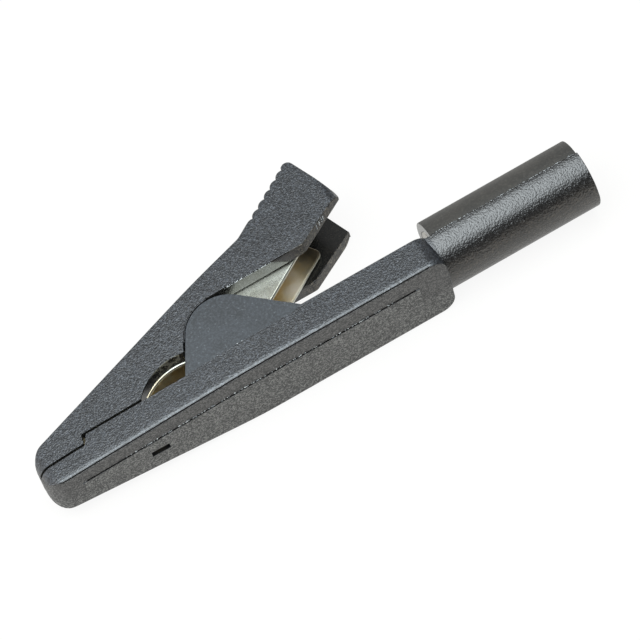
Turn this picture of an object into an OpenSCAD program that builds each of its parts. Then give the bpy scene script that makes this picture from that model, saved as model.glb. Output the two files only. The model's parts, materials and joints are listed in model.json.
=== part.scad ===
// Insulated test clip: two moulded shells over two toothed sheet-metal jaws, hinged on a rivet,
// held shut by a torsion spring, with a round plug socket at the rear.
// Frame: the origin is the centre of the socket mouth, +X leaves the socket along its axis,
// +Y points from the body to the lever, +Z crosses the width. The clip lies on its side, Z up.

/* [Overall] */
// Length from the nose to the socket mouth
overall_l = 42; // [41.5:0.1:43]
// Width across the side faces
body_w = 5.9; // [5.7:0.1:6.6]
// Width across the nose before its corners are rounded
nose_w = 3.35; // [3.2:0.05:3.8]
// Distance of the start of the nose taper from the socket mouth
taper_back = 26.75; // [26:0.25:27.5]

/* [Socket] */
// Outer diameter of the socket sleeve
sleeve_d = 5; // [4.8:0.1:5.2]
// Length of the sleeve behind the body
sleeve_l = 11.65; // [11:0.05:12]
// Diameter of the plug that the socket takes
plug_d = 2; // [1.6:0.1:2.2]
// Depth of the plug bore
plug_depth = 9; // [7:0.5:9.5]
// Outer diameter of the contact tube
contact_d = 3; // [2.8:0.1:3.2]

/* [Body] */
// Depth of the bottom's edges below the socket axis
body_drop = 2.45; // [2.4:0.01:2.6]
// Rise of the bottom from the taper to the nose
nose_lift = 0.27; // [0.1:0.01:0.35]
// Height of the rear top edge above the socket axis
edge_rise = 0.05; // [0:0.01:0.1]
// Thickness of the floor at its edges
floor_t = 0.8; // [0.75:0.01:0.9]
// Radius of the rear corners, seen from above
rear_r = 1.2; // [0.8:0.1:1.6]
// Height of the raised panel on the bottom
panel_h = 0.05; // [0.03:0.01:0.12]
// Length of the slot in the bottom
slot_l = 1.35; // [1.1:0.05:1.5]
// Width of the slot in the bottom
slot_w = 0.5; // [0.45:0.05:0.6]

/* [Pivot] */
// Distance of the pivot from the socket mouth
pivot_back = 26.5; // [26.2:0.1:26.8]
// Height of the pivot above the socket axis
pivot_rise = 1.3; // [1.25:0.01:1.4]
// Radius of the cheeks round the pivot
cheek_r = 2.73; // [2.63:0.05:2.83]
// Diameter of the pivot rivet
rivet_d = 1.2; // [1:0.05:1.3]
// Radius of the jaw ears round the rivet
ear_r = 1.28; // [1.1:0.02:1.3]

/* [Lever] */
// Height of the lever's back above the pivot
back_rise = 4.51; // [4.45:0.01:4.8]
// Height of the lever's nose above the socket axis
nose_rise = 0.89; // [0.85:0.01:0.95]
// Slope of the ribbed grip
grip_slope = 33.2; // [32.5:0.1:34]
// Distance from the pivot back to the foot of the grip
grip_reach = 4.08; // [3.9:0.02:4.2]
// Distance from rib to rib
rib_pitch = 0.84; // [0.8:0.02:0.86]
// Height of the ribs
rib_h = 0.17; // [0.1:0.01:0.2]
// Distance from the pivot back to the knee of the lower edge
knee_reach = 7.55; // [7.2:0.05:7.8]
// Distance from the pivot back to the end of the lower edge
tail_reach = 11.5; // [11.4:0.02:11.7]
// Slope of the lower edge behind the knee
tail_slope = 30; // [28:0.5:31]
// Slope of the lever's rear end
end_slope = 69.7; // [69:0.1:71]

/* [Jaws] */
// Thickness of the jaw sheet
sheet_t = 0.3; // [0.25:0.01:0.32]
// Distance from tooth to tooth
tooth_pitch = 0.6; // [0.5:0.05:0.65]
// Height of the teeth
tooth_h = 0.3; // [0.2:0.02:0.34]
// Diameter of the spring wire
wire_d = 0.4; // [0.32:0.02:0.42]
// Number of coils in the spring, counted from leg to leg
coil_count = 4; // [3:1:4]

/* [Hidden] */
$fn = 64;

// Clearances
lip_gap = 0.15;     // between the lips of the two shells
cheek_gap = 0.1;    // between a cheek and the lever's cut-out
side_gap = 0.05;    // between a jaw's side and its shell
ear_gap = 0.03;     // between the nested ears
press_gap = 0.01;   // between the rivet and the lower jaw
run_gap = 0.04;     // between the rivet and the upper jaw, which turns on it
head_gap = 0.02;    // between the rivet's heads and the ears
seat_gap = 0.02;    // between the contact and the sleeve
peg_gap = 0.03;     // between the lever's peg and its hole
wire_gap = 0.02;    // between the spring's legs and the jaws
tooth_gap = 0.16;   // between the tooth rows, across the closing line
land_gap = 0.02;    // between the flat tips of the jaws
past = 60;          // runs past any face

// Places along the clip
nose_x = -overall_l;
taper_x = -taper_back;
body_end_x = -sleeve_l;
pivot = [-pivot_back, pivot_rise];
front_wall = 0.95;
front_x = nose_x + front_wall;
step_reach = 3.75;
step_x = nose_x + step_reach;
narrow_reach = 1.6;
narrow_x = pivot.x - narrow_reach;

// Shells: half width, floor, closing line behind the step, front lip and roundings
half_w = body_w / 2;
bottom_y = -body_drop;
floor_y = bottom_y + floor_t;
nose_y = bottom_y + nose_lift;
step_run = 0.15;
step_relief = 0.28;
step_y = 0.16;
jaw_y = 0.01;
front_lip_y = -0.545;
lip_r = 0.08;
chin_r = front_lip_y - lip_gap / 2 - nose_y - 2 * lip_r;
nose_corner_r = 1.1;
taper_r = 50;
channel_wall = 1.55;
channel_end_x = body_end_x - channel_wall;

// Sleeve: set-back of its upper half at the front, mould step at its mouth and root in the body
sleeve_set = 0.15;
mould_step = 0.1;
sleeve_root = 0.3;

// Bottom: raised panel and slot
panel_margins = [2.3, 2.25];
panel_ends = [nose_x + panel_margins[0], body_end_x - panel_margins[1]];
panel_edge = 1.7;
panel_half = half_w - panel_edge;
panel_nose_half = 0.52;
panel_root = floor_t / 2;
slot_reach = 7.25;
slot_x = nose_x + slot_reach;
slot_z = -0.46;

// Cheeks: directions of the straight edges beside the round, inset, root and front corner on the ledge
front_lean = 151.8;
rear_lean = 45.4;
cheek_inset = 0.04;
ledge_y = -0.2;
ledge_run = 0.6;
cheek_root = 0.3;
cheek_root_y = ledge_y - cheek_root;
cheek_front = toward(front_lean);
cheek_rear = toward(rear_lean);
cheek_toe = crossing(pivot + cheek_r * cheek_front, toward(front_lean + 90), [0, ledge_y], [1, 0]);

// Lever: lower edge, web, back, grip with its ribs, and the round opening in front of the cheeks
cut_r = cheek_r + cheek_gap;
under_y = pivot.y + cut_r;
web_t = 0.9;
back_slope = atan((pivot.y + back_rise - nose_rise) / (pivot.x - nose_x));
back_way = toward(back_slope);
brow_r = (nose_rise - front_lip_y - lip_gap / 2 - 2 * lip_r) * tan(45 + back_slope / 2);
grip_way = toward(grip_slope);
grip_out = toward(grip_slope + 90);
grip_foot = [pivot.x + grip_reach, back_y(pivot.x + grip_reach)];
foot_r = 1.5;
tail = [pivot.x + tail_reach, under_y + (tail_reach - knee_reach) * tan(tail_slope)];
grip_end = crossing(grip_foot, grip_way, tail, toward(-end_slope));
grip_end_r = 0.45;
grip_flat_l = norm(grip_end - grip_foot) - grip_end_r * tan((grip_slope + end_slope) / 2);
rib_first = 1.38;
rib_rise = rib_pitch / 3;
rib_count = floor((grip_flat_l - rib_first + rib_rise) / rib_pitch);
rib_r = (rib_pitch * rib_pitch / 4 + rib_h * rib_h) / (2 * rib_h);
rib_half = asin(rib_pitch / 2 / rib_r);
last_rise = grip_foot + grip_way * (rib_first + rib_count * rib_pitch - rib_rise);
tail_r = 0.15;
tail_corner_r = 0.9;
tail_flare = 0.03;
knee_r = 0.6;
mouth_place = [-4.15, -3.61];
mouth_c = pivot + mouth_place;
mouth_r = 3.85;
mouth_front = 180 - asin((jaw_y + lip_gap / 2 - mouth_c.y) / mouth_r);
jaw_x = mouth_c.x + mouth_r * cos(mouth_front);
web_bend = crossing([pivot.x, web_y(pivot.x)], back_way,
                    grip_foot - grip_out * (web_t + rib_h), grip_way);
peg_reach = 5;
peg = [pivot.x - peg_reach, web_y(pivot.x - peg_reach)];
peg_r = 0.4;
peg_proud = 0.15;
peg_l = sheet_t + peg_proud;

// Jaws: half widths of their outer faces, closing line, handle, room for the upper teeth in the tub,
// walls, tongue and lance
side_wall = 1.25;
upper_half = half_w - side_wall;
lower_half = upper_half - sheet_t - ear_gap;
nose_half = 0.82;
tooth_y = -0.2;
tip_land = 0.3;
teeth_x = front_x + tip_land;
row_margin = 0.9;
tooth_count = floor((jaw_x - row_margin - teeth_x) / tooth_pitch);
mouth_step = 0.08;
upper_mouth_r = mouth_r - mouth_step;
handle_l = 10;
handle_r = 0.5;
wall_top_y = tooth_y - tooth_h / 2 - tooth_gap / 2;
rebate_y = tooth_y - tooth_h / 2;
wall_margin = 4.55;
wall_end_x = body_end_x - wall_margin;
wall_end_y = -0.9;
ear_foot = 2.6;
shank_y = -sheet_t / 2;
tongue_margin = 0.75;
tongue_x = body_end_x - tongue_margin;
tongue_flat = 2.2;
tongue_rise_x = tongue_x - tongue_flat;
tongue_half = 0.6;
tongue_root = 1;
lance_l = 0.9;
lance_t = 0.28;
lance_drop = 0.35;

// Rivet, spring and contact
rivet_r = rivet_d / 2;
head_in = upper_half + head_gap;
head_lap = 0.28;
head_r = rivet_r + head_lap;
head_t = 0.25;
head_room = 0.12;
wire_r = wire_d / 2;
coil_gap = 0.35;
coil_r = rivet_r + coil_gap + wire_r;
coil_space = 0.03;
coil_pitch = wire_d + coil_space;
leg_reach = 6;
web_leg = 0.72;
contact_r = contact_d / 2;
collar_lap = 0.3;
collar_r = contact_r + collar_lap;
collar_l = 0.8;
collar_x = body_end_x + sleeve_set + collar_l;
shank_x = collar_x - collar_l;
shank_l = 2.6;
shank_end_x = shank_x - shank_l;
shank_r = 1.1;
slit_w = 0.35;
slit_l = 6.5;

// Direction at an angle from +X, and unit length of a vector
function toward(angle) = [cos(angle), sin(angle)];
function unit(v) = v / norm(v);

// Point where two lines cross, each given by a point and a direction
function crossing(p, u, q, v) = p + u * cross(q - p, v) / cross(u, v);

// First point where a line from p along the unit direction u meets a circle
function strike(p, u, c, r) =
    let (along = (p - c) * u)
    p - u * (along + sqrt(along * along - (p - c) * (p - c) + r * r));

// Points along an arc, and a list in reverse
function arc(c, r, from, to, steps = 16) =
    [for (i = [0:steps]) c + r * toward(from + (to - from) * i / steps)];
function backwards(list) = [for (i = [len(list) - 1:-1:0]) list[i]];

// Outline whose corners [x, y, r] are rounded to radius r, while a corner [x, y] stays sharp
function rounded(pts) =
    [for (i = [0:len(pts) - 1])
        each corner(pts[(i + len(pts) - 1) % len(pts)], pts[i], pts[(i + 1) % len(pts)])];
function corner(a, b, c, steps = 8) =
    len(b) < 3 ? [b] :
    let (p = [b.x, b.y],
         u = unit([a.x, a.y] - p),
         w = unit([c.x, c.y] - p),
         half = acos(u * w) / 2,
         centre = p + unit(u + w) * b.z / sin(half),
         first = p + u * b.z / tan(half) - centre,
         last = p + w * b.z / tan(half) - centre,
         sweep = atan2(cross(first, last), first * last))
    [for (i = [0:steps])
        let (turn = sweep * i / steps)
        centre + [first.x * cos(turn) - first.y * sin(turn), first.x * sin(turn) + first.y * cos(turn)]];

// Heights of the lever's back, of the underside of its web and of the bottom along the clip,
// and the shells' half width there
function back_y(x) = pivot.y + back_rise + (x - pivot.x) * tan(back_slope);
function web_y(x) = back_y(x) - web_t / cos(back_slope);
function tapered(x) = max(0, taper_x - x) / (taper_x - nose_x);
function base_y(x) = bottom_y + nose_lift * tapered(x);
function shell_half(x) = half_w - (half_w - nose_w / 2) * tapered(x);

// Zigzag of the tooth row, shifted in height, from the front to the rear
function teeth(shift) =
    [for (i = [0:2 * tooth_count])
        [teeth_x + i * tooth_pitch / 2, tooth_y + shift + tooth_h * (i % 2 - 0.5)]];

// Outline in the XY plane, as thick as the whole width
module side(points) {
    linear_extrude(past, center = true) polygon(points);
}

// Outline in the XZ plane, given for one half and mirrored, as tall as everything
module plan(half_outline) {
    mirrored = [for (p = backwards(half_outline)) len(p) < 3 ? [p.x, -p.y] : [p.x, -p.y, p.z]];
    rotate([90, 0, 0])
        linear_extrude(past, center = true)
            polygon(rounded(concat(half_outline, mirrored)));
}

// Outer plan of the shells, drawn in by an inset
module shell_plan(rear_corner, inset = 0) {
    plan([rear_corner,
          [taper_x, half_w - inset, taper_r],
          [nose_x, nose_w / 2 - inset, nose_corner_r]]);
}

// Plan of a channel or jaw that narrows to the nose and may flare to the rear
module channel_plan(half, front_half, flare = 0) {
    plan([[past, half + flare * (past - grip_foot.x)],
          [grip_foot.x, half],
          [narrow_x, half],
          [front_x, front_half]]);
}

// Cylinder across the width, on the pivot
module across_pivot(r, z0, z1) {
    translate([pivot.x, pivot.y, z0]) cylinder(r = r, h = z1 - z0);
}

// Cylinder along the socket axis
module along_socket(r, x0, x1) {
    translate([x0, 0, 0]) rotate([0, 90, 0]) cylinder(r = r, h = x1 - x0);
}

// Cylinder through the lever's web, square to its back
module through_web(r, up, down) {
    translate([peg.x, peg.y, 0])
        rotate([0, 0, back_slope])
            translate([0, up, 0])
                rotate([90, 0, 0]) cylinder(r = r, h = up + down);
}

// Both sides of the width
module both_sides() {
    children();
    mirror([0, 0, 1]) children();
}

// Tub of the body, from its bottom to its top edge
function tub_outline() =
    let (edge = crossing(pivot + cheek_r * cheek_rear, toward(rear_lean + 90), [0, edge_rise], [1, 0]))
    rounded([[nose_x, nose_y, chin_r],
             [nose_x, front_lip_y - lip_gap / 2, lip_r],
             [step_x - step_run, front_lip_y - lip_gap / 2],
             [step_x + step_relief, step_y - lip_gap / 2],
             [jaw_x, jaw_y - lip_gap / 2],
             cheek_toe,
             [edge.x - ledge_run, ledge_y],
             [edge.x, edge_rise],
             [body_end_x, edge_rise],
             [body_end_x, bottom_y],
             [taper_x, bottom_y]]);

// Cheek: a round about the pivot with a straight edge on either side
function cheek_outline() =
    let (foot = crossing(pivot + cheek_r * cheek_rear, toward(rear_lean + 90), [0, cheek_root_y], [1, 0]))
    concat([foot], arc(pivot, cheek_r, rear_lean, front_lean), [cheek_toe, [cheek_toe.x, cheek_root_y]]);

// Raised panel on the bottom, which follows the bottom's rise
module bottom_panel() {
    line = [for (x = [panel_ends[0], taper_x, panel_ends[1]]) [x, base_y(x) - panel_h]];
    root_y = bottom_y + panel_root;
    intersection() {
        side(concat(line, [[panel_ends[1], root_y], [panel_ends[0], root_y]]));
        plan([[panel_ends[1], panel_half], [taper_x, panel_half], [panel_ends[0], panel_nose_half]]);
    }
}

module tub() {
    difference() {
        union() {
            intersection() {
                side(tub_outline());
                shell_plan([body_end_x, half_w, rear_r]);
            }
            bottom_panel();
        }
        intersection() {
            side([[front_x, floor_y], [channel_end_x, floor_y], [channel_end_x, past], [front_x, past]]);
            channel_plan(lower_half + side_gap, nose_half + side_gap);
        }
        intersection() {
            side([[front_x, rebate_y], [pivot.x, rebate_y], [pivot.x, past], [front_x, past]]);
            channel_plan(upper_half + side_gap, nose_half + side_gap);
        }
        translate([slot_x, -past, slot_z - slot_w / 2]) cube([slot_l, past, slot_w]);
    }
}

module cheeks() {
    difference() {
        intersection() {
            side(cheek_outline());
            shell_plan([past, half_w - cheek_inset], cheek_inset);
        }
        channel_plan(upper_half + side_gap, nose_half + side_gap);
        both_sides() across_pivot(head_r + head_room, upper_half, head_in + head_t + head_room);
    }
}

module sleeve() {
    difference() {
        along_socket(sleeve_d / 2, body_end_x + sleeve_set, 0);
        translate([-mould_step, 0, -past / 2]) cube(past);
    }
    difference() {
        along_socket(sleeve_d / 2, body_end_x - sleeve_root, body_end_x + 2 * sleeve_set);
        translate([-past, 0, -past / 2]) cube(past);
    }
}

module body_shell() {
    color("#3d424b") difference() {
        union() {
            tub();
            cheeks();
            sleeve();
        }
        along_socket(contact_r + seat_gap, collar_x - collar_l, past);
        along_socket(collar_r + seat_gap, channel_end_x - collar_l, collar_x);
    }
}

// Lever from its nose over the ribbed grip and back along its lower edge
function lever_outline() =
    let (lip_y = front_lip_y + lip_gap / 2,
         hinge_edge = pivot + cut_r * cheek_front,
         mouth_rear = strike(hinge_edge, toward(front_lean + 90), mouth_c, mouth_r) - mouth_c)
    rounded(concat([[nose_x, lip_y, lip_r],
                    [nose_x, back_y(nose_x), brow_r],
                    [grip_foot.x, grip_foot.y, foot_r]],
                   grip_ribs(),
                   [[grip_end.x, grip_end.y, grip_end_r],
                    [tail.x, tail.y, tail_r],
                    [pivot.x + knee_reach, under_y, knee_r]],
                   arc(pivot, cut_r, 90, front_lean),
                   arc(mouth_c, mouth_r, atan2(mouth_rear.y, mouth_rear.x), mouth_front),
                   [[step_x, step_y + lip_gap / 2],
                    [step_x - step_run, lip_y]]));

// Round crests of the grip, from the first crest to the rise of the last one
function grip_ribs() =
    let (out = grip_slope + 90)
    concat([for (i = [0:rib_count - 1])
               let (c = grip_foot + grip_way * (rib_first + i * rib_pitch) - grip_out * rib_r)
               each arc(c, rib_r, i == 0 ? out : out + rib_half, out - rib_half, 8)],
           [last_rise]);

module lever_shell() {
    color("#3a404c") {
        difference() {
            intersection() {
                side(lever_outline());
                shell_plan([tail.x, half_w, tail_corner_r]);
            }
            intersection() {
                side([[front_x, -past], [front_x, web_y(front_x)], web_bend,
                      web_bend + grip_way * past, [past, -past]]);
                channel_plan(upper_half + side_gap, nose_half + side_gap, tail_flare);
            }
        }
        through_web(peg_r, web_t / 2, peg_l);
    }
}

// Folded channel: the walls' outline, less the room inside it
module folded(half, walls, room) {
    difference() {
        intersection() {
            side(walls);
            channel_plan(half, nose_half);
        }
        intersection() {
            side(room);
            channel_plan(half - sheet_t, nose_half - sheet_t);
        }
    }
}

// Upper jaw: web under the lever's back, walls with teeth, ears and the bent-up handle
function upper_walls() =
    let (low = pivot - ear_r * grip_out + grip_way * handle_l,
         top = crossing(low, grip_out, web_bend, grip_way),
         tip_y = tooth_y + land_gap / 2,
         row_end = 180 - asin((tooth_y + tooth_h / 2 + tooth_gap / 2 - mouth_c.y) / upper_mouth_r))
    rounded(concat([[front_x, tip_y], [front_x, web_y(front_x)], web_bend, top, [low.x, low.y, handle_r]],
                   arc(pivot, ear_r, grip_slope - 90, -200),
                   arc(mouth_c, upper_mouth_r, 75, row_end),
                   backwards(teeth(tooth_gap / 2)),
                   [[teeth_x, tip_y]]));

module upper_jaw() {
    drop = sheet_t / cos(back_slope);
    bend = crossing(web_bend - [0, drop], back_way, web_bend - grip_out * sheet_t, grip_way);
    color("#b8b4aa") difference() {
        folded(upper_half, upper_walls(),
               [[-past, -past], [-past, web_y(-past) - drop], bend, bend + grip_way * past, [past, -past]]);
        across_pivot(rivet_r + run_gap, -past, past);
        through_web(peg_r + peg_gap, web_t, web_t);
    }
}

// Lower jaw: floor in the tub, walls with teeth and ears, snap lance and the tongue to the socket
function lower_walls() =
    let (tip_y = tooth_y - land_gap / 2)
    concat([[teeth_x, tip_y], [front_x, tip_y], [front_x, floor_y], [wall_end_x, floor_y],
            [wall_end_x, wall_end_y], [pivot.x + ear_foot, wall_top_y]],
           arc(pivot, ear_r, -10, 190),
           [[pivot.x - ear_foot, wall_top_y]],
           backwards(teeth(-tooth_gap / 2)));

module lower_jaw() {
    tongue = [[wall_end_x - tongue_root, floor_y], [wall_end_x, floor_y], [tongue_rise_x, shank_y], [tongue_x, shank_y]];
    color("#aeaaa1") {
        difference() {
            folded(lower_half, lower_walls(),
                   [[-past, floor_y + sheet_t], [past, floor_y + sheet_t], [past, past], [-past, past]]);
            across_pivot(rivet_r + press_gap, -past, past);
        }
        linear_extrude(2 * tongue_half, center = true)
            polygon(concat(tongue, [for (p = backwards(tongue)) p + [0, sheet_t]]));
        translate([slot_x + (slot_l - lance_l) / 2, floor_y - lance_drop, slot_z - lance_t / 2])
            cube([lance_l, lance_drop + sheet_t / 2, lance_t]);
    }
}

module pivot_rivet() {
    color("#c4c2bc") {
        across_pivot(rivet_r, -head_in - head_t, head_in + head_t);
        both_sides() across_pivot(head_r, head_in, head_in + head_t);
    }
}

// Spring path: a leg on the lower jaw's floor, coils round the rivet, a leg under the upper jaw's web
function spring_path() =
    let (floor_end = [pivot.x + leg_reach, floor_y + sheet_t + wire_r + wire_gap],
         web_x = pivot.x + leg_reach * web_leg,
         web_end = [web_x, web_y(web_x) - (sheet_t + wire_r + wire_gap) / cos(back_slope)],
         start = leaving(floor_end, -1),
         end = leaving(web_end, 1) - 360 * coil_count,
         turns = (start - end) / 360,
         z0 = -turns * coil_pitch / 2,
         steps = round(turns * 20))
    concat([[floor_end.x, floor_end.y, z0]],
           [for (i = [0:steps])
               let (p = pivot + coil_r * toward(start + (end - start) * i / steps))
               [p.x, p.y, z0 + turns * coil_pitch * i / steps]],
           [[web_end.x, web_end.y, -z0]]);

// Angle on the coil where a leg that ends at p leaves it, below (-1) or above (1)
function leaving(p, way) =
    let (v = p - pivot)
    atan2(v.y, v.x) + way * acos(coil_r / norm(v));

// Round wire along a path
module wire(path, r, sides = 10) {
    n = len(path);
    rings = [for (i = [0:n - 1])
        let (t = unit(path[min(i + 1, n - 1)] - path[max(i - 1, 0)]),
             out = unit(cross(t, [0, 0, 1])),
             up = cross(out, t))
        for (k = [0:sides - 1]) path[i] + r * (out * cos(360 * k / sides) + up * sin(360 * k / sides))];
    skin = [for (i = [0:n - 2], k = [0:sides - 1])
        let (a = i * sides + k, b = i * sides + (k + 1) % sides)
        [a, a + sides, b + sides, b]];
    ends = [[for (k = [0:sides - 1]) k], [for (k = [sides - 1:-1:0]) (n - 1) * sides + k]];
    polyhedron(rings, concat(skin, ends));
}

module torsion_spring() {
    color("#8f9094") wire(spring_path(), wire_r);
}

module socket_contact() {
    color("#c8b98c") difference() {
        rotate([0, 90, 0])
            rotate_extrude()
                polygon([[plug_d / 2, 0], [contact_r, 0], [contact_r, collar_x], [collar_r, collar_x],
                         [collar_r, shank_x], [shank_r, shank_x], [shank_r, shank_end_x], [0, shank_end_x],
                         [0, -plug_depth], [plug_d / 2, -plug_depth]]);
        translate([-slit_l, -past / 2, -slit_w / 2]) cube([past, past, slit_w]);
        translate([tongue_x - past, shank_y, -past / 2]) cube([past, sheet_t, past]);
    }
}

body_shell();
lever_shell();
lower_jaw();
upper_jaw();
pivot_rivet();
torsion_spring();
socket_contact();
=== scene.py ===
import json
import math
from functools import cached_property

import bmesh
import bpy
from mathutils import Matrix, Vector


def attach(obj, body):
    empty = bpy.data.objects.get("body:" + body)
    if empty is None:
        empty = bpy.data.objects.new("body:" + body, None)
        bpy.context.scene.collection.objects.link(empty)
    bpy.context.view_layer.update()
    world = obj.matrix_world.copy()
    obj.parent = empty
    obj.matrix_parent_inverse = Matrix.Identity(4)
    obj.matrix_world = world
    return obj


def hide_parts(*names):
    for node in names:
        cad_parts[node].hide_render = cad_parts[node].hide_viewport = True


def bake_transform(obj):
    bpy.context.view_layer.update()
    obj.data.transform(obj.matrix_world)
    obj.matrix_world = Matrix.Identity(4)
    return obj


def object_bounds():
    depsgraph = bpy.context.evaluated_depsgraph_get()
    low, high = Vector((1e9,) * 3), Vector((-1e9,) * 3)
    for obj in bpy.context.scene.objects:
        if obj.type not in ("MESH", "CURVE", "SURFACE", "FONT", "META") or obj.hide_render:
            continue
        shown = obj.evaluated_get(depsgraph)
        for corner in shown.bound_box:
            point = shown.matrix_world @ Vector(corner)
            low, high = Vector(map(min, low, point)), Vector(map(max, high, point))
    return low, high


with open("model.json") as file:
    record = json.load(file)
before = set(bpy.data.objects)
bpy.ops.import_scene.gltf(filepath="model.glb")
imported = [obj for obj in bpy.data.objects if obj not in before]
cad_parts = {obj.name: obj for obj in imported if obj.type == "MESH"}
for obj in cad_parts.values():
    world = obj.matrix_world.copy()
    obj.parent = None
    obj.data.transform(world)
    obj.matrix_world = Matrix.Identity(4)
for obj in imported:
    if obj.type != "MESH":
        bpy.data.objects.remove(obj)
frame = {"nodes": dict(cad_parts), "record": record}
cad_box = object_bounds()

MM = 0.001


def in_mm(metres):
    """A length of the frame in millimetres."""
    return round(metres / MM, 3)


# Sizes that the frame gives, in millimetres like the clip's other sizes
NOSE_X = in_mm(cad_box[0].x)
HALF_W = in_mm(cad_box[1].z)
SLEEVE_R = in_mm(-cad_box[0].y)
PIVOT = [in_mm(place) for place in frame["record"]["behaviour"]["joints"][0]["pos_m"][:2]]
PLUG_R = frame["record"]["mounts"][0]["dims"]["r_mm"]

# Shape of the body, as in the part's source
BODY_END_X = -11.65
TAPER_X = -26.75
NOSE_HALF = 1.675
BOTTOM_Y = -2.45
NOSE_LIFT = 0.27
FLOOR_T = 0.8
FLOOR_Y = BOTTOM_Y + FLOOR_T
REAR_R = 1.2
LEDGE_Y = -0.2
PANEL_MARGINS = (2.3, 2.25)
PANEL_EDGE = 1.7
PANEL_ENDS = (NOSE_X + PANEL_MARGINS[0], BODY_END_X - PANEL_MARGINS[1])
PANEL_HALVES = (0.52, HALF_W - PANEL_EDGE)  # at its front end, and behind the taper

# Places on the body where its edges or its finish change
CHIN_RUN = 1.38
CHIN_TOP_Y = -0.95
LEDGE_END_X = -21.94
LEDGE_RISE = 0.42
CHEEK_FRONT_X = -30.45
CHEEK_END_X = -21.2
PANEL_LINE = 0.05

# Shape of the lever, as in the part's source
CHEEK_R = 2.73
CHEEK_GAP = 0.1
CUT_R = CHEEK_R + CHEEK_GAP
UNDER_Y = PIVOT[1] + CUT_R
KNEE_REACH = 7.55
KNEE = (PIVOT[0] + KNEE_REACH, UNDER_Y)
TAIL_SLOPE = math.tan(math.radians(30))
BACK_RISE = 4.51
NOSE_RISE = 0.89
BACK_SLOPE = math.atan((PIVOT[1] + BACK_RISE - NOSE_RISE) / (PIVOT[0] - NOSE_X))

# Places on the lever where its edges or its finish change
JAW_X = -33.5
LIP_TOP_Y = 0.3
MOUTH_X = (-32.8, -31.4, -30)  # where its painted reflection begins, is full and ends
RIM_X = (-20.5, -19.2)  # where the grain of the rim begins and is full

# Jaws of plated strip
SHEET_T = 0.3
STRIP_HALF = 1.7
TEETH_END_X = -34.0
HANDLE_END_X = -18.1

# Spring: its coil round the rivet, and its legs on the jaws, which lie on the floor and under the web
WIRE_R = 0.2
WIRE_GAP = 0.02
RIVET_R = 0.6
COIL_GAP = 0.35
COIL_R = RIVET_R + COIL_GAP + WIRE_R
COIL_SPACE = 0.03
COIL_PITCH = 2 * WIRE_R + COIL_SPACE
COIL_COUNT = 4
TURN_STEPS = 28
LEG_SEAT = SHEET_T + WIRE_GAP + WIRE_R
FLOOR_END = (-20.5, FLOOR_Y + LEG_SEAT)
WEB_X = -22.18
WEB_T = 0.9

# Rounded edges: widths, turns in degrees, lengths of edges that are merged, and margins of places
BOTTOM_ROUND = 0.25
EDGE_ROUND = 0.05
PANEL_ROUND = 0.02
LEVER_ROUND = 0.08
CRISP_ROUND = 0.03
STRIP_ROUND = 0.12
TOOTH_ROUND = 0.04
SHARP_TURN = 45
CHIN_TURN = 32
CHIN_FLAT_TURN = 15
SMOOTH_TURN = 32
FLAT_TURN = 0.5
MERGE_GAP = 0.0008
CHIN_SHORTEST = 0.09
LOW_MARGIN = 0.02
END_MARGIN = 0.01
SIDE_MARGIN = 0.1
CHEEK_MARGIN = 0.06

# Lip, painted seam shadow, flash and nicks of the mouldings
LIP_WIRE_R = 0.045
LIP_R = CUT_R - LIP_WIRE_R
LIP_ANGLES = (90, 152, 2)  # first, end and step, in degrees
LIP_TAIL = 0.7
SEAM_X = (-39.4, -14.2)
SEAM_WIRE_R = 0.035
SEAM_ASIDE = 0.03
PANEL_FLASH_X = (-37, -16)
PANEL_FLASH_ASIDE = 0.09
PANEL_PROUD = 0.01
CHEEK_FLASH_X = (-30, -22)
CHEEK_FLASH_SUNK = 0.075
SLEEVE_FLASH_X = (-11.3, -0.3)
LEVER_FLASH_X = (-25, -21.5)
LEVER_FLASH_RISE = 0.03
LEVER_FLASH_SUNK = 0.08
NICKS_X = (-17.5, -17.2, -16.95, -16.8)
NICK_DEPTHS = (0.06, 0.55)

# Grain of the two mouldings
PLASTIC_SHINE = 0.8
GRAIN_BUMP = 0.92
GRAIN_DEPTH = 0.035
SMOOTHED = 0.94

# Camera: angles in degrees, the point it looks at, its distance, and its focal length in pixels
CAMERA_LIFT = 32.636
CAMERA_SWING = 7.277
CAMERA_ROLL = 29.6
CAMERA_AIM = (-20.452, 0.075, 0)
CAMERA_REACH = 258.641
FOCAL_PX = 3862
PHOTO_PX = 640
SENSOR_W = 36

# Reach of the table on each side, in metres
TABLE_REACH = 1.5


class Socket:
    """A shader socket that takes part in Python arithmetic."""

    def __init__(self, shaders, socket):
        self.shaders = shaders
        self.socket = socket

    def math(self, operation, *values):
        return self.shaders.node("Math", {"operation": operation}, *values)

    def __add__(self, other):
        return self.math("ADD", self, other)

    def __sub__(self, other):
        return self.math("SUBTRACT", self, other)

    def __rsub__(self, other):
        return self.math("SUBTRACT", other, self)

    def __mul__(self, other):
        return self.math("MULTIPLY", self, other)

    def __truediv__(self, other):
        return self.math("DIVIDE", self, other)

    def __gt__(self, other):
        return self.math("GREATER_THAN", self, other)

    def __lt__(self, other):
        return self.math("LESS_THAN", self, other)

    def __abs__(self):
        return self.math("ABSOLUTE", self)

    def root(self):
        return self.math("SQRT", self)

    def most(self, other):
        return self.math("MAXIMUM", self, other)

    def least(self, other):
        return self.math("MINIMUM", self, other)

    def fade(self, start, end):
        """Goes smoothly from 0 at start to 1 at end."""
        smooth = {"interpolation_type": "SMOOTHSTEP"}
        return self.shaders.node("MapRange", smooth, self, start, end, 0, 1)

    __radd__ = __add__
    __rmul__ = __mul__


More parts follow.
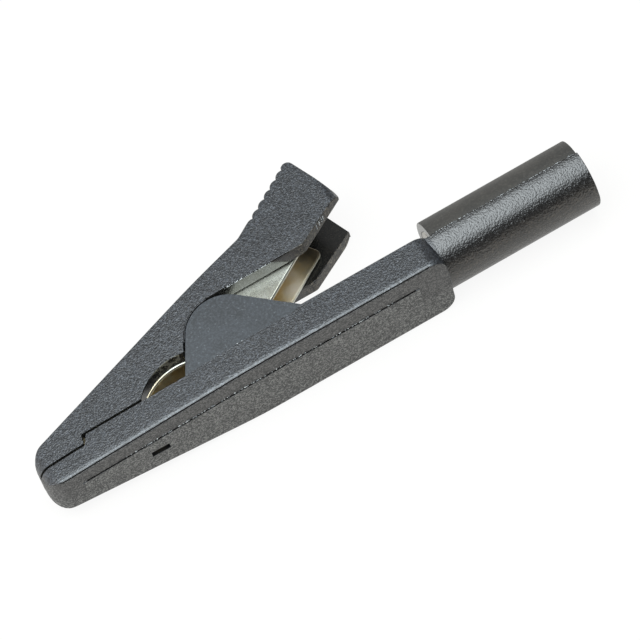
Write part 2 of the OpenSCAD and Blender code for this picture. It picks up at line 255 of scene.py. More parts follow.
class ShaderTree:
    """The shader nodes of a material or of the surroundings."""

    def __init__(self, owner):
        owner.use_nodes = True
        self.tree = owner.node_tree

    def node(self, kind, settings=None, *values, out=0, **named):
        """Adds a node: its settings, then its sockets by order or by name, and returns an output."""
        made = self.tree.nodes.new("ShaderNode" + kind)
        for key, value in (settings or {}).items():
            if key == "stops":
                ramp = made.color_ramp
                while len(ramp.elements) < len(value):
                    ramp.elements.new(1)
                for element, (place, level) in zip(ramp.elements, value):
                    element.position = place
                    element.color = (level, level, level, 1)
            else:
                setattr(made, key, value)
        sockets = [*zip(made.inputs, values)]
        sockets += [(made.inputs[key.replace("_", " ")], value) for key, value in named.items()]
        for socket, value in sockets:
            self.feed(socket, value)
        return Socket(self, made.outputs[out])

    def feed(self, socket, value):
        if isinstance(value, Socket):
            self.tree.links.new(value.socket, socket)
        else:
            socket.default_value = value

    def outputs(self, first, *names):
        """Several outputs of the node that an output belongs to."""
        return [Socket(self, first.socket.node.outputs[name]) for name in names]

    def parts(self, vector):
        return self.outputs(self.node("SeparateXYZ", None, vector), "X", "Y", "Z")

    def ray_kinds(self):
        """1 for rays that the camera sends, for mirrored ones and for those that pass through."""
        rays = self.node("LightPath")
        return self.outputs(rays, "Is Camera Ray", "Is Glossy Ray", "Is Transmission Ray")


class Finish(ShaderTree):
    """A procedural material that ends in a Principled shader."""

    def __init__(self, name):
        self.material = bpy.data.materials.new(name)
        super().__init__(self.material)
        self.shader = self.tree.nodes["Principled BSDF"]
        self.output = self.tree.nodes["Material Output"]

    @cached_property
    def vector(self):
        """Object coordinates in millimetres."""
        coords = self.node("TexCoord", None, out="Object")
        return self.node("Mapping", None, Vector=coords, Scale=(1 / MM, 1 / MM, 1 / MM))

    @cached_property
    def place(self):
        """The three parts of the object coordinates."""
        return self.parts(self.vector)

    @cached_property
    def normal(self):
        """The three parts of the surface normal in object space."""
        return self.parts(self.node("TexCoord", None, out="Normal"))

    def noise(self, scale, detail=2.0, rough=0.5, vector=None):
        vector = vector or self.vector
        return self.node("TexNoise", None, Vector=vector, Scale=scale, Detail=detail, Roughness=rough)

    def cells(self, scale):
        """Soft round cells."""
        return self.node("TexVoronoi", {"feature": "SMOOTH_F1"}, Vector=self.vector, Scale=scale)

    def flecks(self, scale):
        """Cells that each have one level of their own."""
        colour = self.node("TexVoronoi", None, Vector=self.vector, Scale=scale, out="Color")
        return self.node("SeparateColor", None, colour)

    def ramp(self, value, *stops):
        return self.node("ValToRGB", {"stops": stops}, value)

    def mix(self, factor, a, b):
        return self.node("MixRGB", None, factor, a, b)

    def bump(self, height, strength, depth):
        return self.node("Bump", None, Strength=strength, Distance=depth * MM, Height=height)

    def set(self, **sockets):
        """Feeds the shader's sockets and returns the finished material."""
        for key, value in sockets.items():
            self.feed(self.shader.inputs[key.replace("_", " ")], value)
        return self.material


def rgb(r, g, b):
    """A colour written in display values, for a colour socket."""
    def linear(c):
        c /= 255
        return c / 12.92 if c <= 0.04045 else ((c + 0.055) / 1.055) ** 2.4
    return (linear(r), linear(g), linear(b), 1)


# Finishes

def eroded_grain(f):
    """Colour, speckle, height and roughness that a spark-eroded mould leaves on dark plastic."""
    grain = f.noise(8, 2, 0.6)
    speckle = f.ramp(f.flecks(9.5) * 0.7 + grain * 0.3, (0.25, 0), (0.65, 0.35), (0.85, 1))
    tint = f.mix(f.noise(0.45, 3).fade(0.35, 0.7), rgb(24, 25, 27), rgb(31, 32, 34))
    colour = f.mix(speckle, tint, rgb(69, 72, 77))
    return colour, speckle, grain + f.cells(9) * 0.6, f.ramp(grain, (0.3, 0.28), (0.7, 0.36))


def inner_side(f):
    """1 on faces that look towards the middle of the clip, which the mould left smooth."""
    return (f.place[2] * f.normal[2]).fade(-0.1, -0.6)


class BodyZones:
    """Where the body's finish changes: masks that are 1 in a zone and 0 outside it."""

    def __init__(self, f):
        x, y, z = f.place
        nx, ny, nz = f.normal
        ragged = f.noise(3.5, 3, 0.6) - 0.5
        above = y - ((TAPER_X - x) / (TAPER_X - NOSE_X)).most(0) * NOSE_LIFT - BOTTOM_Y

        ledge = (LEDGE_Y + (x - LEDGE_END_X) * LEDGE_RISE).most(LEDGE_Y)
        self.cheek = (y + 0.03 * ragged > ledge) * (x > CHEEK_FRONT_X) * (x < CHEEK_END_X)
        self.sleeve = x > BODY_END_X + 0.05
        self.sleeve_top = self.sleeve * (y > 0.02) * nx.fade(0.9, 0.7)
        self.sleeve_under = self.sleeve * ny.fade(-0.7, -0.95)
        self.sleeve_step = self.sleeve * nx.fade(-0.7, -0.9)

        chin = abs(nz).fade(0.66, 0.44) * (x < NOSE_X + CHIN_RUN) * (y < LEDGE_Y)
        self.bottom = ny.fade(-0.75, -0.9).most(chin) * (x < BODY_END_X)
        inside = self.inside_panel(x, z)
        self.panel = self.bottom * (inside > 0)
        self.strips = self.bottom * (inside < 0)
        self.far = z.fade(0.2, -1.6)
        # The panel line and the edge band below are where shade is painted as black lines.
        self.panel_line = self.bottom * (1 - (abs(inside + ragged * 0.03) / PANEL_LINE).least(1))

        turn = ny + ragged * 0.08
        along = abs(nx) < 0.3
        rounded = above.fade(BOTTOM_ROUND, BOTTOM_ROUND * 0.9) * (x < BODY_END_X - REAR_R) * along
        self.edge = turn.fade(-0.62, -0.72) * turn.fade(-0.97, -0.92) * rounded
        # Shoulder above the bottom edge, where a highlight is painted.
        low = (above + ragged * 0.25).fade(0.42, 0.2) * (x < BODY_END_X) * along
        self.shoulder = low * turn.fade(-0.68, -0.6)

        # The slot and the inner faces are where shade is painted near black.
        in_floor = (above > 0.03) * (y < FLOOR_Y)
        self.slot = in_floor * (abs(z) < 1) * (x < TAPER_X) * (x > PANEL_ENDS[0])
        self.inner = inner_side(f) * (1 - self.bottom) * (1 - self.sleeve)

    @staticmethod
    def inside_panel(x, z):
        """How far a place lies inside the outline of the bottom panel."""
        taper = ((TAPER_X - x) / (TAPER_X - PANEL_ENDS[0])).most(0)
        half = PANEL_HALVES[1] - taper * (PANEL_HALVES[1] - PANEL_HALVES[0])
        return (half - abs(z)).least(x - PANEL_ENDS[0]).least(PANEL_ENDS[1] - x)


def cheek_tint(f, speckle, cloud):
    """Cloudy satin grey of the cheeks, with a few bright specks."""
    tint = f.mix(cloud.fade(0.38, 0.62), rgb(33, 36, 39), rgb(42, 46, 50))
    tint = f.mix(f.noise(7, 3, 0.7).fade(0.4, 0.7) * 0.8, tint, rgb(66, 71, 77))
    return f.mix(speckle.fade(0.85, 1) * 0.35, tint, rgb(110, 115, 120))


def sleeve_colour(f, colour, zones, speckle, cloud):
    """Colour of the body with the sleeve: near black, satin above, and lighter brown specks underneath
    that paint the table's reflection.
    """
    colour = f.mix(zones.sleeve * 0.8, colour, rgb(15, 12, 9))
    # Painted reflection: lighter brown specks on the underside, where the table is mirrored.
    table_reflection_tint = f.mix(speckle, rgb(16, 12, 9), rgb(66, 58, 48))
    colour = f.mix(zones.sleeve_under * 0.7, colour, table_reflection_tint)
    top_tint = f.mix(cloud.fade(0.35, 0.65), rgb(29, 27, 23), rgb(39, 36, 31))
    top_tint = f.mix(speckle * 0.25, top_tint, rgb(90, 86, 78))
    return f.mix(zones.sleeve_top, colour, top_tint)


def bottom_colour(f, colour, zones, speckle):
    """Colour of the body with the peppered bottom, painted shade as dark lines along the panel and the
    bottom edge, and a painted highlight on the shoulder beside it.
    """
    pepper = f.flecks(12.5).fade(0.3, 1)
    panel_tint = f.mix(pepper, rgb(26, 26, 25), rgb(114, 113, 111))
    strip_tint = f.mix(pepper, rgb(16, 15, 15), rgb(86, 84, 83))
    colour = f.mix(zones.panel, colour, panel_tint)
    colour = f.mix(zones.strips, colour, f.mix(zones.far, strip_tint, panel_tint))
    # Painted shade: near black along the panel's edge and in the dark band of the rounded bottom edge.
    colour = f.mix(zones.panel_line.most(zones.edge) * 0.95, colour, rgb(7, 7, 7))
    # Painted highlight: pale speckled blue-grey on the shoulder above the bottom edge.
    shoulder_highlight = f.mix(speckle, rgb(60, 64, 68), rgb(130, 136, 142))
    return f.mix(zones.shoulder * 0.42, colour, shoulder_highlight)


def body_plastic():
    """Dark plastic of the body: eroded, with satin cheeks and sleeve, painted shade inside, and painted
    dark lines and a painted highlight on the bottom.
    """
    f = Finish("body_plastic")
    zones = BodyZones(f)
    cheek, sleeve, shoulder = zones.cheek, zones.sleeve, zones.shoulder
    grain_colour, speckle, height, rough = eroded_grain(f)
    cloud = f.noise(0.55, 2)
    colour = f.mix(cheek, grain_colour, cheek_tint(f, speckle, cloud))
    colour = sleeve_colour(f, colour, zones, speckle, cloud)
    colour = bottom_colour(f, colour, zones, speckle)
    # Painted shade: the inner faces and the inside of the slot are painted near black.
    colour = f.mix(zones.inner.most(zones.slot), colour, rgb(20, 20, 21))

    pips = f.cells(9) * 0.8 + f.noise(8, 1) * 1.1
    height = pips * sleeve + height * (1 - sleeve)
    satin = cheek + zones.sleeve_top
    not_step = 1 - zones.sleeve_step
    smooth = satin.most(zones.inner).most(zones.sleeve_step).most(shoulder * 0.5).most(zones.edge)
    rough = rough + zones.bottom * 0.2 - sleeve * 0.05 + zones.sleeve_under * 0.05
    smooth_rough = (cheek * 0.42 + zones.sleeve_top * 0.58) * not_step + zones.edge * 0.12
    smooth_rough = smooth_rough + zones.inner * 0.2 + zones.sleeve_step * 0.24 + shoulder * 0.12
    return f.set(Base_Color=colour,
                 Roughness=rough * (1 - smooth) + smooth_rough,
                 Specular_IOR_Level=PLASTIC_SHINE,
                 Coat_Weight=sleeve * (1 - satin.least(1)) * not_step * (1 - zones.sleeve_under) * 0.75,
                 Coat_Roughness=0.3,
                 Normal=f.bump(height * (1 - smooth * SMOOTHED), GRAIN_BUMP, GRAIN_DEPTH))


def lever_plastic():
    """Dark plastic of the lever: eroded outside, smooth inside with painted shade, and a painted pale
    reflection in the mouth.
    """
    f = Finish("lever_plastic")
    x = f.place[0]
    ny = f.normal[1]
    colour, speckle, height, rough = eroded_grain(f)
    underneath = ny.fade(-0.3, -0.6)
    inner = inner_side(f).most(underneath)
    # Painted reflection: a pale patch on the mouth's walls towards their rear.
    mouth = x.fade(MOUTH_X[0], MOUTH_X[1]) * (x < MOUTH_X[2]) * ny.fade(-0.2, -0.5)
    mouth_reflection = mouth * f.noise(3.5, 3).fade(0.42, 0.6)
    rim = underneath * x.fade(RIM_X[0], RIM_X[1])
    # Painted shade: the inner faces and the underside are painted dark.
    colour = f.mix(inner, colour, f.mix(speckle * 0.5, rgb(26, 26, 25), rgb(60, 57, 51)))
    colour = f.mix(rim, colour, f.mix(speckle, rgb(17, 16, 14), rgb(116, 108, 96)))
    grained = (1 - inner * SMOOTHED).most(rim * 0.7)
    return f.set(Base_Color=f.mix(mouth_reflection * 0.65, colour, rgb(140, 136, 122)),
                 Roughness=rough * (1 - inner) + inner * 0.18 + rim * 0.4,
                 Specular_IOR_Level=PLASTIC_SHINE,
                 Normal=f.bump(height * grained, GRAIN_BUMP, GRAIN_DEPTH))


def plated_sheet():
    """Nickel-plated strip: grey outside, yellowed inside, with painted shade near the handle's end and a
    painted light patch before it.
    """
    f = Finish("plated_sheet")
    x, _, z = f.place
    cloud = f.noise(0.9, 4)
    dust = f.noise(9, 2)
    patches = cloud.fade(0.35, 0.7)
    inner_face = STRIP_HALF - SHEET_T
    inner = abs(z).fade(inner_face + 0.1, inner_face + 0.01)
    cut_edge = abs(z).fade(inner_face + 0.01, inner_face + 0.06)
    cut_edge = cut_edge * abs(z).fade(STRIP_HALF - 0.01, STRIP_HALF - 0.06)

    # Painted shade darkens the inside near the handle's end; a pale, less metallic painted light patch
    # lies before it.
    from_end = (cloud - 0.5) * 1.5 + x - HANDLE_END_X
    painted_end_shade = from_end.fade(-1.6, 0)
    painted_light_patch = from_end.fade(-3.3, -2.4) * from_end.fade(-1.3, -2.1)
    painted_light_patch = painted_light_patch * inner * (cloud - 0.2).fade(0, 0.4)
    outside_tint = f.mix(patches, rgb(206, 206, 192), rgb(226, 227, 216))
    inside_tint = f.mix(patches, rgb(236, 219, 180), rgb(255, 248, 226))
    inside_tint = f.mix(painted_end_shade * 0.85, inside_tint, rgb(74, 60, 40))
    inside_tint = f.mix(painted_light_patch, inside_tint, rgb(236, 226, 208))
    return f.set(Base_Color=f.mix(inner, outside_tint, inside_tint),
                 Metallic=1 - painted_light_patch * 0.55,
                 Roughness=dust.fade(0.3, 0.7) * 0.06 + 0.26 + cut_edge * 0.1 + inner * 0.14,
                 Normal=f.bump(dust, 0.1, 0.01))


def drawn_steel(name, colour, rough):
    """Plain steel, clouded by handling."""
    f = Finish(name)
    clouds = f.noise(6, 3)
    return f.set(Base_Color=f.mix(clouds * 0.5, colour, rgb(120, 118, 114)),
                 Metallic=1.0,
                 Roughness=f.ramp(clouds, (0.3, rough - 0.06), (0.7, rough + 0.08)),
                 Normal=f.bump(clouds, 0.1, 0.01))


def turned_contact():
    """Turned brass under a thin nickel plating, with tool rings, brass showing in the bore, and painted
    shade on the front face of the ring.
    """
    f = Finish("turned_contact")
    _, y, z = f.place
    along = f.node("Mapping", None, Vector=f.vector, Scale=(14, 0.2, 0.2))
    rings = f.noise(1.6, 2, vector=along)
    cloud = f.noise(0.8, 3)
    bore = (y * y + z * z).root().fade(PLUG_R + 0.25, PLUG_R + 0.05)
    # Painted shade: the front face of the ring round the bore is painted darker.
    collar = f.normal[0].fade(-0.7, -0.9)
    plating = f.mix(cloud, rgb(206, 203, 192), rgb(226, 224, 216))
    plating = f.mix(collar, plating, rgb(112, 108, 98))
    brass = f.mix(cloud, rgb(190, 156, 96), rgb(214, 190, 128))
    return f.set(Base_Color=f.mix(bore * 0.8, plating, brass),
                 Metallic=1.0,
                 Roughness=f.ramp(rings, (0.3, 0.2), (0.7, 0.36)),
                 Normal=f.bump(rings, 0.15, 0.01))


def whitened_flash():
    """Thin plastic flash, painted pale grey as its highlight."""
    f = Finish("whitened_flash")
    cloud = f.noise(4, 2)
    return f.set(Base_Color=f.mix(cloud.fade(0.35, 0.65), rgb(120, 124, 127), rgb(206, 209, 210)),
                 Roughness=cloud * 0.2 + 0.25)


def seam_dirt():
    """Dull near black that paints the shadow in the corner of the bottom panel's edge."""
    f = Finish("seam_dirt")
    return f.set(Base_Color=f.mix(f.noise(3, 2).fade(0.4, 0.7), rgb(8, 8, 8), rgb(24, 23, 22)),
                 Roughness=1.0,
                 Specular_IOR_Level=0.0)


# Lines along the clip

def taper_at(x):
    """How far a place is along the taper, from 0 at its start to 1 at the nose."""
    return max(0, TAPER_X - x) / (TAPER_X - NOSE_X)


def side_z(x):
    """Half width of the clip along its length."""
    return HALF_W - (HALF_W - NOSE_HALF) * taper_at(x)


def base_y(x):
    """Height of the bottom's edges along the clip."""
    return BOTTOM_Y + NOSE_LIFT * taper_at(x)


def panel_z(x):
    """Half width of the bottom panel along its length."""
    near, far = PANEL_HALVES
    return far - (far - near) * max(0, TAPER_X - x) / (TAPER_X - PANEL_ENDS[0])


def stations(start, end, step=0.5):
    """Places along the clip at even steps."""
    count = round(abs(end - start) / step)
    return [start + (end - start) * i / count for i in range(count + 1)]


def spring_path():
    """Middle line of the spring, from its leg on the floor to its leg under the web, and its lowest z."""
    def leaving(point, way):
        """Direction, seen from the pivot, in which the coil leaves for a point."""
        over = (point[0] - PIVOT[0], point[1] - PIVOT[1])
        return math.atan2(over[1], over[0]) + way * math.acos(COIL_R / math.hypot(*over))

    back_y = PIVOT[1] + BACK_RISE + (WEB_X - PIVOT[0]) * math.tan(BACK_SLOPE)
    web_y = back_y - (WEB_T + LEG_SEAT) / math.cos(BACK_SLOPE)
    first = leaving(FLOOR_END, -1)
    last = leaving((WEB_X, web_y), 1) - 2 * math.pi * COIL_COUNT
    turns = (first - last) / (2 * math.pi)
    low = -turns * COIL_PITCH / 2
    steps = round(turns * TURN_STEPS)
    coil = []
    for i in range(steps + 1):
        angle = first + (last - first) * i / steps
        coil.append((PIVOT[0] + COIL_R * math.cos(angle), PIVOT[1] + COIL_R * math.sin(angle),
                     low - 2 * low * i / steps))
    return [(*FLOOR_END, low), *coil, (WEB_X, web_y, -low)], low


def lip_path():
    """Middle line of the lever's lip: round the cheek, with a short straight tail."""
    angles = [math.radians(angle) for angle in range(*LIP_ANGLES)]
    line = [(PIVOT[0] + LIP_R * math.cos(angle), PIVOT[1] + LIP_R * math.sin(angle)) for angle in angles]
    end_x, end_y = line[-1]
    line.append((end_x - LIP_TAIL * math.sin(angles[-1]), end_y + LIP_TAIL * math.cos(angles[-1])))
    return [(x, y, side_z(x) - LIP_WIRE_R) for x, y in line]


# Rounded copies of the solids

def on_chin(place):
    """Whether a place lies on the rounded chin of the body."""
    return place.x < NOSE_X + CHIN_RUN and place.y < CHIN_TOP_Y


def body_edges(middle, turn):
    """Rounds the outer edges of the bottom most, and less towards their ends."""
    x, y, z = middle
    low = y < base_y(x) + LOW_MARGIN
    if on_chin(middle):
        if turn < CHIN_TURN:
            return 0
        run = max(0, x - NOSE_X) / CHIN_RUN
        sharpness = (turn - CHIN_FLAT_TURN) / (90 - CHIN_FLAT_TURN)
        return (EDGE_ROUND + (BOTTOM_ROUND - EDGE_ROUND) * run) * sharpness
    on_rear_corner = BODY_END_X - REAR_R < x < BODY_END_X + END_MARGIN
    if low and on_rear_corner and turn > SHARP_TURN:
        return BOTTOM_ROUND - (BOTTOM_ROUND - EDGE_ROUND) * (x - BODY_END_X + REAR_R) / REAR_R
    if low and abs(z) > side_z(x) - SIDE_MARGIN:
        return BOTTOM_ROUND
    if turn < SHARP_TURN:
        return 0
    if x < LEDGE_END_X and y > CHIN_TOP_Y:
        return CRISP_ROUND
    return PANEL_ROUND if low else EDGE_ROUND


def lever_edges(middle, turn):
    """Rounds the lever's edges, but keeps them crisp round the cheeks and on the nose's lip."""
    if turn < SHARP_TURN:
        return 0
    from_pivot = math.hypot(middle.x - PIVOT[0], middle.y - PIVOT[1])
    beside_cheek = abs(from_pivot - CUT_R) < CHEEK_MARGIN and middle.x < PIVOT[0]
    on_lip = middle.y < LIP_TOP_Y and middle.x < JAW_X
    return CRISP_ROUND if beside_cheek or on_lip else LEVER_ROUND


def jaw_edges(middle, turn):
    """Rounds the strip's cut edges fully behind the tooth row, and only breaks the edges of the teeth."""
    if turn < SHARP_TURN:
        return 0
    return STRIP_ROUND if middle.x > TEETH_END_X else TOOTH_ROUND


def plain_edges(width):
    """Rounds every sharp outer edge alike."""
    def width_at(middle, turn):
        return width if turn > SHARP_TURN else 0
    return width_at


def add_object(name, data):
    """A new object of the scene, at the origin."""
    added = bpy.data.objects.new(name, data)
    bpy.context.scene.collection.objects.link(added)
    return added


def bake_modifiers(piece):
    """Turns a piece's modifiers into plain mesh."""
    graph = bpy.context.evaluated_depsgraph_get()
    done = bpy.data.meshes.new_from_object(piece.evaluated_get(graph))
    done.name = piece.name
    piece.modifiers.clear()
    piece.data = done


def weigh_edges(mesh, width_at, shortest):
    """Merges a CAD mesh and its short edges, and weighs each edge with the width of its rounding."""
    bm = bmesh.new()
    bm.from_mesh(mesh)
    bmesh.ops.remove_doubles(bm, verts=bm.verts, dist=MERGE_GAP)
    bmesh.ops.dissolve_limit(bm, angle_limit=math.radians(FLAT_TURN), verts=bm.verts, edges=bm.edges,
                             delimit={"NORMAL"})
    bmesh.ops.dissolve_degenerate(bm, dist=shortest, edges=bm.edges)
    chin_edges = [edge for edge in bm.edges if all(on_chin(vertex.co) for vertex in edge.verts)]
    bmesh.ops.dissolve_degenerate(bm, dist=CHIN_SHORTEST, edges=chin_edges)
    weight = bm.edges.layers.float.new("bevel_weight_edge")
    for edge in bm.edges:
        middle = (edge.verts[0].co + edge.verts[1].co) / 2
        edge[weight] = width_at(middle, math.degrees(edge.calc_face_angle_signed(0)))
    bm.to_mesh(mesh)
    bm.free()


def round_edges(piece, segments):
    """Rounds each edge by its own weight in millimetres."""
    bevel = piece.modifiers.new("rounded_edges", "BEVEL")
    bevel.limit_method = "WEIGHT"
    bevel.offset_type = "OFFSET"
    bevel.width = 1
    bevel.segments = segments
    bevel.use_clamp_overlap = False
    bevel.loop_slide = False
    bake_modifiers(piece)


def shade_by_angle(piece):
    """Smooth shading that breaks at sharp edges and leaves large flat faces flat."""
    bm = bmesh.new()
    bm.from_mesh(piece.data)
    bmesh.ops.triangulate(bm, faces=[face for face in bm.faces if len(face.verts) > 4])
    for face in bm.faces:
        face.smooth = True
    for edge in bm.edges:
        edge.smooth = abs(edge.calc_face_angle(0)) < math.radians(SMOOTH_TURN)
    bm.to_mesh(piece.data)
    bm.free()
    weighted = piece.modifiers.new("flat_faces_first", "WEIGHTED_NORMAL")
    weighted.keep_sharp = True
    bake_modifiers(piece)


def finished_copy(node, name, width_at, shortest=0.01, segments=3):
    """A merged copy of a CAD node with rounded edges, kept inside the node's own box."""
    mesh = frame["nodes"][node].data.copy()
    mesh.name = name
    piece = add_object(name, mesh)
    mesh.transform(Matrix.Scale(1 / MM, 4))
    axes = [[vertex.co[axis] for vertex in mesh.vertices] for axis in range(3)]
    limits = [(min(places), max(places)) for places in axes]
    weigh_edges(mesh, width_at, shortest)
    round_edges(piece, segments)
    for vertex in piece.data.vertices:
        vertex.co = [min(max(place, low), high) for place, (low, high) in zip(vertex.co, limits)]
    shade_by_angle(piece)
    piece.data.transform(Matrix.Scale(MM, 4))
    return piece


# Forms along paths

class FormTree:
    """A Geometry Nodes tree with named inputs, which makes a form along the paths of a piece."""

    def __init__(self, name, **inputs):
        self.tree = bpy.data.node_groups.new(name, "GeometryNodeTree")
        self.add_socket("Paths", "Geometry")
        for key, kind in inputs.items():
            self.add_socket(key.replace("_", " "), kind)
        self.add_socket("Form", "Geometry", "OUTPUT")
        self.given = self.tree.nodes.new("NodeGroupInput").outputs

    def add_socket(self, name, kind, way="INPUT"):
        self.tree.interface.new_socket(name, in_out=way, socket_type="NodeSocket" + kind)

    def node(self, kind, settings=None, **sockets):
        """Adds a node: its settings, then its sockets by name, and returns its first output."""
        made = self.tree.nodes.new(kind)
        for key, value in (settings or {}).items():
            setattr(made, key, value)
        free = [socket for socket in made.inputs if socket.enabled]
        for key, value in sockets.items():
            socket = next(s for s in free if s.name == key.replace("_", " "))
            if isinstance(value, bpy.types.NodeSocket):
                self.tree.links.new(value, socket)
            else:
                socket.default_value = value
        return next(socket for socket in made.outputs if socket.enabled)

    def end(self, form):
        """Ends the tree: instances made real, smooth, and with the given finish."""
        form = self.node("GeometryNodeRealizeInstances", Geometry=form)
        form = self.node("GeometryNodeSetShadeSmooth", Geometry=form)
        form = self.node("GeometryNodeSetMaterial", Geometry=form, Material=self.given["Finish"])
        self.tree.links.new(form, self.tree.nodes.new("NodeGroupOutput").inputs["Form"])

    def piece(self, name, paths, **values):
        """Makes a plain mesh piece from lists of points in millimetres."""
        mesh = bpy.data.meshes.new(name)
        points, edges = [], []
        for path in paths:
            edges += [(len(points) + i, len(points) + i + 1) for i in range(len(path) - 1)]
            points += [Vector(point) * MM for point in path]
        mesh.from_pydata(points, edges, [])
        made = add_object(name, mesh)
        modifier = made.modifiers.new(self.tree.name, "NODES")
        modifier.node_group = self.tree
        for item in self.tree.interface.items_tree:
            key = item.name.replace(" ", "_")
            if item.in_out == "INPUT" and key in values:
                modifier[item.identifier] = values[key]
        bake_modifiers(made)
        return made


def mould_flash_tree():
    """Small irregular beads of flash along a parting line."""
    form = FormTree("mould_flash", Spacing="Float", Bead="Float", Scatter="Float", Share="Float",
                    Seed="Int", Finish="Material")
    seed = form.given["Seed"]
    vector = {"data_type": "FLOAT_VECTOR"}
    scale = {"operation": "SCALE"}
    paths = form.node("GeometryNodeMeshToCurve", Mesh=form.given["Paths"])
    paths = form.node("GeometryNodeResampleCurve", {"mode": "LENGTH"}, Curve=paths,
                      Length=form.given["Spacing"])
    aside = form.node("FunctionNodeRandomValue", vector, Min=(-1, -1, -1), Max=(1, 1, 1), Seed=seed)
    aside = form.node("ShaderNodeVectorMath", scale, Vector=aside, Scale=form.given["Scatter"])
    points = form.node("GeometryNodeSetPosition", Geometry=paths, Offset=aside)
    kept = form.node("FunctionNodeRandomValue", {"data_type": "BOOLEAN"},
                     Probability=form.given["Share"], Seed=seed)
    size = form.node("FunctionNodeRandomValue", vector, Min=(0.5, 0.35, 0.35), Max=(1.6, 1, 1), Seed=seed)
    size = form.node("ShaderNodeVectorMath", scale, Vector=size, Scale=form.given["Bead"])
    bead = form.node("GeometryNodeMeshIcoSphere", Radius=1.0, Subdivisions=2)
    form.end(form.node("GeometryNodeInstanceOnPoints", Points=points, Selection=kept, Instance=bead,
                       Scale=size))
    return form


def wound_wire_tree():
    """A round wire swept along a path, with closed ends."""
    form = FormTree("wound_wire", Wire_radius="Float", Finish="Material")
    path = form.node("GeometryNodeMeshToCurve", Mesh=form.given["Paths"])
    section = form.node("GeometryNodeCurvePrimitiveCircle", Resolution=14,
                        Radius=form.given["Wire radius"])
    form.end(form.node("GeometryNodeCurveToMesh", Curve=path, Profile_Curve=section, Fill_Caps=True))
    return form


# Pieces of the clip

def dress(piece, material, body, slot, *nodes):
    """Gives a piece its material, and sets it in the place of its CAD nodes."""
    piece.data.materials.clear()
    piece.data.materials.append(material)
    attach(piece, body)
    if nodes:
        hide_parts(*nodes)


def build_mouldings():
    """The two insulating mouldings; returns the lever's finish."""
    body = finished_copy("body_shell", "body_moulding", body_edges, shortest=0.045, segments=5)
    dress(body, body_plastic(), "clip_body", "body_plastic", "body_shell")
    lever = finished_copy("lever_shell", "lever_moulding", lever_edges, shortest=0.03)
    lever_finish = lever_plastic()
    dress(lever, lever_finish, "lever", "lever_plastic", "lever_shell")
    return lever_finish


def build_metal():
    """The two jaws, the socket's contact and the rivet."""
    nickel = plated_sheet()
    upper = finished_copy("upper_jaw", "upper_jaw_strip", jaw_edges, shortest=0.03, segments=4)
    dress(upper, nickel, "lever", "plated_sheet", "upper_jaw")
    lower = finished_copy("lower_jaw", "lower_jaw_strip", plain_edges(width=0.04))
    dress(lower, nickel, "clip_body", "plated_sheet", "lower_jaw")
    contact = finished_copy("socket_contact", "plug_contact", plain_edges(width=0.05))
    dress(contact, turned_contact(), "clip_body", "contact_brass", "socket_contact")
    rivet = finished_copy("pivot_rivet", "pivot_pin", plain_edges(width=0.06))
    rivet_steel = drawn_steel("rivet_steel", rgb(196, 193, 186), 0.3)
    dress(rivet, rivet_steel, "clip_body", "rivet_steel", "pivot_rivet")


def build_spring(wire):
    """The spring's wound wire."""
    spring_steel = drawn_steel("spring_steel", rgb(160, 160, 162), 0.28)
    wire_path, wire_low = spring_path()
    spring = wire.piece("spring_wire", [wire_path], Wire_radius=WIRE_R * MM, Finish=spring_steel)
    (wire_low + WIRE_R) * MM
    -(wire_low + WIRE_R) * MM
    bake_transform(spring)
    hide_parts("torsion_spring")


def build_lip(wire, lever_finish):
    """The thin lip of the lever round the near cheek."""
    lip = wire.piece("lever_lip", [lip_path()], Wire_radius=LIP_WIRE_R * MM, Finish=lever_finish)
    dress(lip, lever_finish, "lever", "lever_plastic")


def build_seam_shadow(wire):
    """A dark wire that paints the shadow along the near edge of the bottom panel."""
    shadow_paint = seam_dirt()
    seam_line = [(x, base_y(x) - PANEL_PROUD, panel_z(x) + SEAM_ASIDE) for x in stations(*SEAM_X)]
    seam = wire.piece("panel_seam", [seam_line], Wire_radius=SEAM_WIRE_R * MM, Finish=shadow_paint)
    dress(seam, shadow_paint, "clip_body", "body_plastic")


def build_flash():
    """Flash along the parting lines of the body, the sleeve and the lever, and nicks on its rim, painted
    pale as their highlight.
    """
    flash = mould_flash_tree()
    pale = whitened_flash()

    def beads(name, lines, body, slot, spacing, bead, scatter, share, seed):
        piece = flash.piece(name, lines, Spacing=spacing * MM, Bead=bead * MM, Scatter=scatter * MM,
                            Share=share, Seed=seed, Finish=pale)
        dress(piece, pale, body, slot)

    panel_line = [(x, base_y(x) - PANEL_PROUD, panel_z(x) + PANEL_FLASH_ASIDE)
                  for x in stations(*PANEL_FLASH_X)]
    cheek_line = [(x, LEDGE_Y, side_z(x) - CHEEK_FLASH_SUNK) for x in stations(*CHEEK_FLASH_X)]
    sleeve_line = [(x, 0.0, SLEEVE_R) for x in stations(*SLEEVE_FLASH_X)]
    lever_line = [(x, UNDER_Y + LEVER_FLASH_RISE, HALF_W - LEVER_FLASH_SUNK)
                  for x in stations(*LEVER_FLASH_X)]
    nick_lines = [[(x, KNEE[1] + (x - KNEE[0]) * TAIL_SLOPE, HALF_W - depth) for depth in NICK_DEPTHS]
                  for x in NICKS_X]
    beads("body_flash", [panel_line, cheek_line], "clip_body", "body_plastic",
          spacing=0.11, bead=0.05, scatter=0.02, share=0.45, seed=4)
    beads("sleeve_flash", [sleeve_line], "clip_body", "body_plastic",
          spacing=0.08, bead=0.03, scatter=0.015, share=0.5, seed=5)
    beads("lever_flash", [lever_line], "lever", "lever_plastic",
          spacing=0.05, bead=0.06, scatter=0.02, share=0.8, seed=7)
    beads("rim_nicks", nick_lines, "lever", "lever_plastic",
          spacing=0.04, bead=0.045, scatter=0.015, share=0.85, seed=3)


# Studio

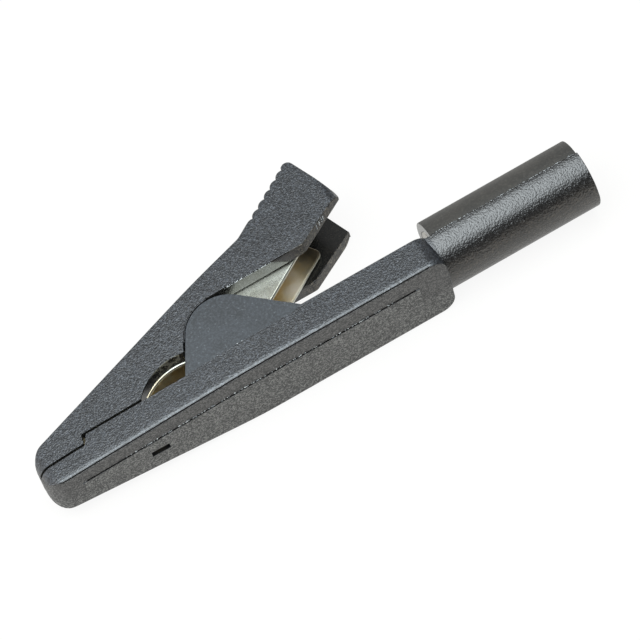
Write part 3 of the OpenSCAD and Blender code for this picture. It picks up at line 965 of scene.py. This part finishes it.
def build_camera():
    """The camera at the photo's viewing angle, rolled as the photo is."""
    lift, swing, roll = (math.radians(angle) for angle in (CAMERA_LIFT, CAMERA_SWING, CAMERA_ROLL))
    back = Vector((-math.sin(swing), -math.sin(lift) * math.cos(swing), math.cos(lift) * math.cos(swing)))
    along = Vector((1, 0, 0))
    along = (along - along.dot(back) * back).normalized()
    down = -back.cross(along)
    right = math.cos(roll) * along + math.sin(roll) * down
    up = math.sin(roll) * along - math.cos(roll) * down
    data = bpy.data.cameras.new("camera")
    data.sensor_width = SENSOR_W
    data.lens = SENSOR_W * FOCAL_PX / PHOTO_PX
    data.clip_start, data.clip_end = 0.01, 20
    camera = add_object("camera", data)
    turn = Matrix((right, up, back)).transposed()
    place = Vector(CAMERA_AIM) * MM + back * (CAMERA_REACH * MM)
    camera.matrix_world = Matrix.Translation(place) @ turn.to_4x4()
    bpy.context.scene.camera = camera


def build_table():
    """A white table that keeps the clip's shadow."""
    f = Finish("white_table")
    f.set(Base_Color=(0.8, 0.76, 0.7, 1), Roughness=0.9)
    seen, mirrored, through = f.ray_kinds()
    white = f.node("Emission", None, Strength=1.0)
    factor = (seen * 0.9 + mirrored * 0.6 + through * 0.9).least(0.9)
    shown = f.node("MixShader", None, factor, Socket(f, f.shader.outputs[0]), white)
    f.feed(f.output.inputs["Surface"], shown)
    sides = [(-1, -1), (1, -1), (1, 1), (-1, 1)]
    corners = [(x * TABLE_REACH, y * TABLE_REACH, cad_box[0].z) for x, y in sides]
    mesh = bpy.data.meshes.new("table")
    mesh.from_pydata(corners, [], [(0, 1, 2, 3)])
    mesh.materials.append(f.material)
    table = add_object("table", mesh)


def area_light(name, place, aim, size, strength, colour):
    """A soft box whose face has a given brightness; its places and sizes are in metres."""
    data = bpy.data.lights.new(name, "AREA")
    data.shape = "RECTANGLE"
    data.size, data.size_y = size
    data.energy = strength * math.pi * size[0] * size[1]
    data.color = colour
    light = add_object(name, data)
    light.location = place
    light.rotation_mode = "QUATERNION"
    light.rotation_quaternion = (Vector(place) - Vector(aim)).to_track_quat("Z", "Y")


def build_lights():
    """A wide soft box overhead and a weak card on the left."""
    area_light("overhead", place=(-0.085, -0.052, 0.25), aim=(-0.085, -0.052, 0),
               size=(0.34, 0.28), strength=5.0, colour=(0.90, 0.97, 1.0))
    area_light("left_card", place=(-0.32, -0.03, 0.1), aim=(-0.03, 0, 0),
               size=(0.24, 0.16), strength=1.2, colour=(0.97, 0.99, 1.0))


def build_room():
    """A dim room in front and a lighter one behind, white where the camera sees it."""
    world = bpy.data.worlds.new("surroundings")
    bpy.context.scene.world = world
    room = ShaderTree(world)
    x, y, z = room.parts(room.node("TexCoord", None, out="Generated"))
    behind = (y - x).fade(-0.3, 0.7)
    low = z.fade(0.6, 0.2)
    level = behind * (low * 0.55 + 0.3) + 0.05
    seen, mirrored, through = room.ray_kinds()
    backdrop = (seen + mirrored * behind * low + through).least(1)
    background = room.tree.nodes["Background"].inputs
    room.feed(background["Strength"], level + (1 - level) * backdrop)
    room.feed(background["Color"], (1, 1, 1, 1))


lever_finish = build_mouldings()
build_metal()
wire = wound_wire_tree()
build_spring(wire)
build_lip(wire, lever_finish)
build_seam_shadow(wire)
build_flash()

build_camera()
build_table()
build_lights()
build_room()
bpy.context.scene.view_settings.view_transform = "Standard"
